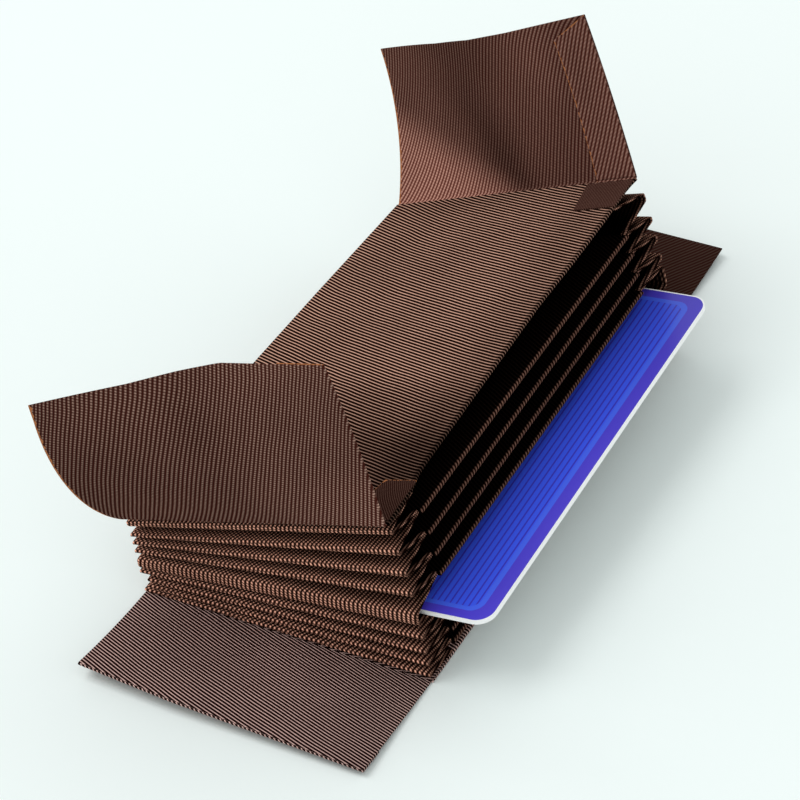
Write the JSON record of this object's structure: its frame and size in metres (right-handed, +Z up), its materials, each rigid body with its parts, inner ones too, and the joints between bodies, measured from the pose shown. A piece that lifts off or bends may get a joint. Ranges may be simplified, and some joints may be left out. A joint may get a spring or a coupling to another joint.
{
  "type": "accordion card wallet",
  "caption": "Pleated cloth card wallet that fans open about its spine, with fold-out end flaps and a plastic card standing part-way out of one pocket.",
  "frame": {"origin": "middle of the face that the wallet lies on, under its bottom panel", "axes": "+X towards the pockets' opening, +Y along the wallet towards its far end, +Z up from the face that it lies on"},
  "size_m": [0.0767, 0.1422, 0.0655],
  "materials": {
    "outer_cloth": "ribbed dark brown polyester with a soft sheen",
    "divider_cloth": "ribbed dark brown polyester",
    "pleat_cloth": "ribbed dark brown polyester, pleated",
    "hem_cloth": "ribbed dark brown polyester with a heat-cut edge",
    "card": "glossy blue print on a white core"
  },
  "bodies": {
    "base": {"bottom_panel": "outer_cloth", "gusset_1": "pleat_cloth"},
    "leaf_1": {"divider_1": "divider_cloth", "gusset_2": "pleat_cloth"},
    "leaf_2": {"divider_2": "divider_cloth", "gusset_3": "pleat_cloth"},
    "leaf_3": {"divider_3": "divider_cloth", "gusset_4": "pleat_cloth"},
    "leaf_4": {"divider_4": "divider_cloth", "gusset_5": "pleat_cloth"},
    "leaf_5": {"divider_5": "divider_cloth", "gusset_6": "pleat_cloth"},
    "leaf_6": {"divider_6": "divider_cloth", "gusset_7": "pleat_cloth"},
    "leaf_7": {"divider_7": "divider_cloth", "gusset_8": "pleat_cloth"},
    "leaf_8": {"divider_8": "divider_cloth", "gusset_9": "pleat_cloth"},
    "lid": {"top_panel": "outer_cloth", "near_corner_hem": "hem_cloth", "far_corner_hem": "hem_cloth"},
    "top_near": {"top_near_flap": "outer_cloth", "near_flap_hem": "hem_cloth"},
    "top_far": {"top_far_flap": "outer_cloth", "far_flap_hem": "hem_cloth"},
    "bottom_near": {"bottom_near_flap": "outer_cloth", "bottom_near_hem": "hem_cloth"},
    "bottom_far": {"bottom_far_flap": "outer_cloth"},
    "card": {"card": "card"}
  },
  "joints": [
    {"name": "pocket_1_fan", "type": "hinge", "parent": "base", "child": "leaf_1", "pos_m": [-0.02755, 0, 0.0008], "axis": [0, -1, 0], "range_deg": [-1.48, 4.59], "deforming": ["gusset_1"]},
    {"name": "pocket_2_fan", "type": "hinge", "parent": "leaf_1", "child": "leaf_2", "pos_m": [-0.02765, 0, 0.00205], "axis": [0, -1, 0], "range_deg": [-1.38, 4.28], "deforming": ["gusset_2"]},
    {"name": "pocket_3_fan", "type": "hinge", "parent": "leaf_2", "child": "leaf_3", "pos_m": [-0.02777, 0, 0.0036], "axis": [0, -1, 0], "range_deg": [-1.38, 4.28], "deforming": ["gusset_3"]},
    {"name": "pocket_4_fan", "type": "hinge", "parent": "leaf_3", "child": "leaf_4", "pos_m": [-0.02792, 0, 0.00537], "axis": [0, -1, 0], "range_deg": [-1.87, 5.81], "deforming": ["gusset_4"]},
    {"name": "pocket_5_fan", "type": "hinge", "parent": "leaf_4", "child": "leaf_5", "pos_m": [-0.02811, 0, 0.0077], "axis": [0, -1, 0], "range_deg": [-2.07, 6.43], "deforming": ["gusset_5"]},
    {"name": "pocket_6_fan", "type": "hinge", "parent": "leaf_5", "child": "leaf_6", "pos_m": [-0.0283, 0, 0.01002], "axis": [0, -1, 0], "range_deg": [-2.27, 7.04], "deforming": ["gusset_6"]},
    {"name": "pocket_7_fan", "type": "hinge", "parent": "leaf_6", "child": "leaf_7", "pos_m": [-0.02844, 0, 0.01172], "axis": [0, -1, 0], "range_deg": [-2.86, 8.87], "deforming": ["gusset_7"]},
    {"name": "pocket_8_fan", "type": "hinge", "parent": "leaf_7", "child": "leaf_8", "pos_m": [-0.02856, 0, 0.0132], "axis": [0, -1, 0], "range_deg": [-2.86, 8.87], "deforming": ["gusset_8"]},
    {"name": "pocket_9_fan", "type": "hinge", "parent": "leaf_8", "child": "lid", "pos_m": [-0.02871, 0, 0.015], "axis": [0, -1, 0], "range_deg": [-2.9, 9], "deforming": ["gusset_9"]},
    {"name": "top_near_flap_fold", "type": "hinge", "parent": "lid", "child": "top_near", "pos_m": [-0.00312, -0.047, 0.02604], "axis": [-0.9503, 0, -0.3115], "range_deg": [-54, 74]},
    {"name": "top_far_flap_fold", "type": "hinge", "parent": "lid", "child": "top_far", "pos_m": [-0.00315, 0.047, 0.02603], "axis": [0.9229, 0, 0.3851], "range_deg": [-44, 88]},
    {"name": "bottom_near_flap_fold", "type": "hinge", "parent": "base", "child": "bottom_near", "pos_m": [0, -0.0463, 0.00017], "axis": [-1, 0, 0], "range_deg": [-1.5, 37]},
    {"name": "bottom_far_flap_fold", "type": "hinge", "parent": "base", "child": "bottom_far", "pos_m": [0, 0.0463, 0.00017], "axis": [1, 0, 0], "range_deg": [-1, 38]},
    {"name": "card_slide", "type": "slide", "parent": "leaf_4", "child": "card", "axis": [0.9923, 0, 0.1236], "range_m": [-0.01, 0.04]}
  ],
  "couplings": [
    {"joint": "pocket_1_fan", "follows": "pocket_9_fan", "ratio": 0.5},
    {"joint": "pocket_2_fan", "follows": "pocket_9_fan", "ratio": 0.46667},
    {"joint": "pocket_3_fan", "follows": "pocket_9_fan", "ratio": 0.46667},
    {"joint": "pocket_4_fan", "follows": "pocket_9_fan", "ratio": 0.63333},
    {"joint": "pocket_5_fan", "follows": "pocket_9_fan", "ratio": 0.7},
    {"joint": "pocket_6_fan", "follows": "pocket_9_fan", "ratio": 0.76667},
    {"joint": "pocket_7_fan", "follows": "pocket_9_fan", "ratio": 0.96667},
    {"joint": "pocket_8_fan", "follows": "pocket_9_fan", "ratio": 0.96667}
  ]
}
